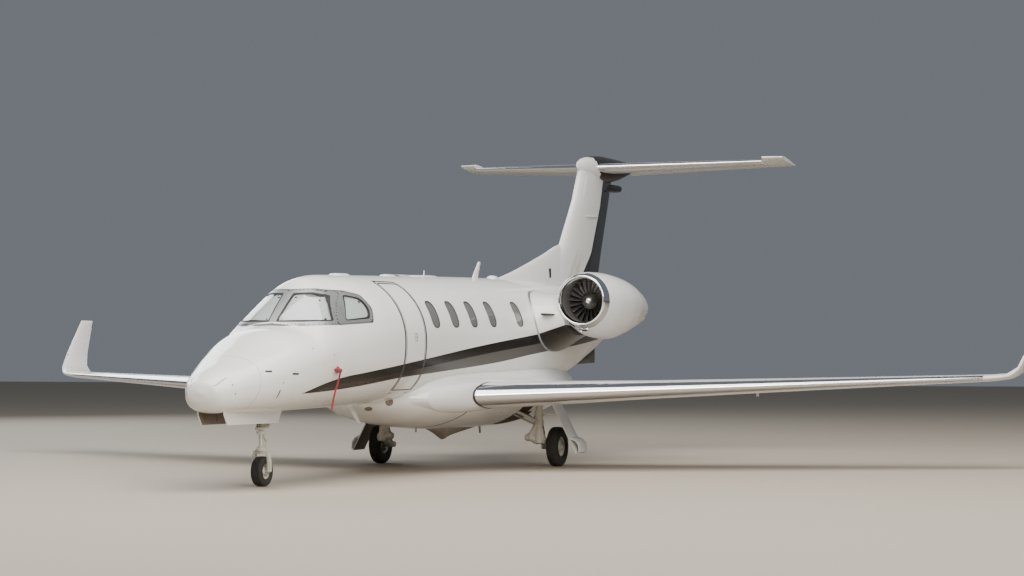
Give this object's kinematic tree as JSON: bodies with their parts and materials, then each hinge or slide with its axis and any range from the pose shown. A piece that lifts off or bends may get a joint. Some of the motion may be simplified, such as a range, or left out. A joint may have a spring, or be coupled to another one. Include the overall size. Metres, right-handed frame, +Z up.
{
  "type": "business jet",
  "caption": "Light business jet with rear-mounted engines, high tailplane and winglets, parked on its gear, with moving control surfaces, fans, wheels and entry door.",
  "frame": {"origin": "on the ground, on the centre line, half way between the nose tip and the elevators' rear tips", "axes": "+X to the pilot's left (port), +Y aft, so the nose points to -Y, +Z up"},
  "size_m": [15.9182, 15.5794, 4.965],
  "materials": {
    "white_paint": "gloss",
    "white_composite": "gloss",
    "polished_metal": "polished",
    "dark_paint": "gloss",
    "pane": "gloss",
    "trim": "matte",
    "floor_panel": "matte",
    "equipment": "matte",
    "hot_metal": "satin",
    "gear_paint": "satin",
    "tyre_rubber": "matte"
  },
  "bodies": {
    "airframe": {"radome": "white_composite", "nose_section": "white_paint", "cockpit_shell": "white_paint", "cabin_shell": "white_paint", "tail_cone": "white_paint", "cabin_floor": "floor_panel", "instrument_panel": "equipment", "cabin_lining": "trim", "belly_fairing": "white_composite", "fin": "white_paint", "tail_bullet": "dark_paint", "tailplane": "white_paint", "ventral_fin": "dark_paint", "nose_leg": "gear_paint", "antenna_roof": "white_paint", "antenna_belly": "white_paint", "windshield_port": "pane", "side_window_port": "pane", "wing_port": "white_paint", "leading_edge_port": "polished_metal", "inlet_lip_port": "polished_metal", "nacelle_port": "white_composite", "engine_core_port": "hot_metal", "pylon_port": "white_paint", "nose_door_port": "white_paint", "main_leg_port": "gear_paint", "main_arm_port": "gear_paint", "main_door_port": "white_paint", "windshield_starboard": "pane", "side_window_starboard": "pane", "wing_starboard": "white_paint", "leading_edge_starboard": "polished_metal", "inlet_lip_starboard": "polished_metal", "nacelle_starboard": "white_composite", "engine_core_starboard": "hot_metal", "pylon_starboard": "white_paint", "nose_door_starboard": "white_paint", "main_leg_starboard": "gear_paint", "main_arm_starboard": "gear_paint", "main_door_starboard": "white_paint"},
    "entry_door": {"entry_door": "white_paint"},
    "nose_fork": {"nose_fork": "gear_paint"},
    "nose_wheel": {"nose_tyre": "tyre_rubber", "nose_rim": "gear_paint"},
    "rudder": {"rudder": "dark_paint"},
    "main_wheel_port": {"main_port_tyre": "tyre_rubber", "main_port_rim": "gear_paint"},
    "fan_port": {"fan_port": "hot_metal"},
    "flap_port": {"flap_port": "white_paint"},
    "aileron_port": {"aileron_port": "white_paint"},
    "elevator_port": {"elevator_port": "white_paint"},
    "main_wheel_starboard": {"main_starboard_tyre": "tyre_rubber", "main_starboard_rim": "gear_paint"},
    "fan_starboard": {"fan_starboard": "hot_metal"},
    "flap_starboard": {"flap_starboard": "white_paint"},
    "aileron_starboard": {"aileron_starboard": "white_paint"},
    "elevator_starboard": {"elevator_starboard": "white_paint"}
  },
  "joints": [
    {"name": "entry_door_hinge", "type": "hinge", "parent": "airframe", "child": "entry_door", "pos_m": [0.598, -3.502, 1.118], "axis": [0, 1, 0], "range_deg": [0, 122]},
    {"name": "steering", "type": "hinge", "parent": "airframe", "child": "nose_fork", "pos_m": [0, -6.237, 0.5], "axis": [0, 0, 1], "range_deg": [-60, 60]},
    {"name": "nose_wheel_spin", "type": "hinge", "parent": "nose_fork", "child": "nose_wheel", "pos_m": [0, -6.212, 0.186], "axis": [1, 0, 0], "continuous": true},
    {"name": "main_wheel_port_spin", "type": "hinge", "parent": "airframe", "child": "main_wheel_port", "pos_m": [1.41, 0.328, 0.287], "axis": [1, 0, 0], "continuous": true},
    {"name": "main_wheel_starboard_spin", "type": "hinge", "parent": "airframe", "child": "main_wheel_starboard", "pos_m": [-1.41, 0.328, 0.287], "axis": [1, 0, 0], "continuous": true},
    {"name": "fan_port_spin", "type": "hinge", "parent": "airframe", "child": "fan_port", "pos_m": [1.54, 1.408, 2.425], "axis": [0, 1, 0], "continuous": true},
    {"name": "fan_starboard_spin", "type": "hinge", "parent": "airframe", "child": "fan_starboard", "pos_m": [-1.54, 1.408, 2.425], "axis": [0, 1, 0], "continuous": true},
    {"name": "rudder_hinge", "type": "hinge", "parent": "airframe", "child": "rudder", "pos_m": [0, 5.3032, 2.96], "axis": [0, 0.4925, 0.8703], "range_deg": [-25, 25]},
    {"name": "flap_port_hinge", "type": "hinge", "parent": "airframe", "child": "flap_port", "pos_m": [1.80478, 0.30035, 0.95405], "axis": [-0.9624, -0.2692, -0.0354], "range_deg": [0, 35]},
    {"name": "flap_starboard_hinge", "type": "hinge", "parent": "airframe", "child": "flap_starboard", "pos_m": [-1.80478, 0.30035, 0.95405], "axis": [-0.9624, 0.2692, 0.0354], "range_deg": [0, 35]},
    {"name": "aileron_port_hinge", "type": "hinge", "parent": "airframe", "child": "aileron_port", "pos_m": [4.9, 1.2236, 1.19795], "axis": [-0.9452, -0.3247, -0.0345], "range_deg": [-13, 27]},
    {"name": "aileron_starboard_hinge", "type": "hinge", "parent": "airframe", "child": "aileron_starboard", "pos_m": [-4.9, 1.2236, 1.19795], "axis": [-0.9452, 0.3247, 0.0345], "range_deg": [-27, 13]},
    {"name": "elevator_port_hinge", "type": "hinge", "parent": "airframe", "child": "elevator_port", "pos_m": [0.36, 6.6096, 4.7612], "axis": [-0.9443, -0.3263, -0.0429], "range_deg": [-32, 3]},
    {"name": "elevator_starboard_hinge", "type": "hinge", "parent": "airframe", "child": "elevator_starboard", "pos_m": [-0.36, 6.6096, 4.7612], "axis": [-0.9443, 0.3263, 0.0429], "range_deg": [-32, 3]}
  ],
  "couplings": [
    {"joint": "flap_starboard_hinge", "follows": "flap_port_hinge", "ratio": 1},
    {"joint": "aileron_starboard_hinge", "follows": "aileron_port_hinge", "ratio": -1},
    {"joint": "elevator_starboard_hinge", "follows": "elevator_port_hinge", "ratio": 1}
  ]
}
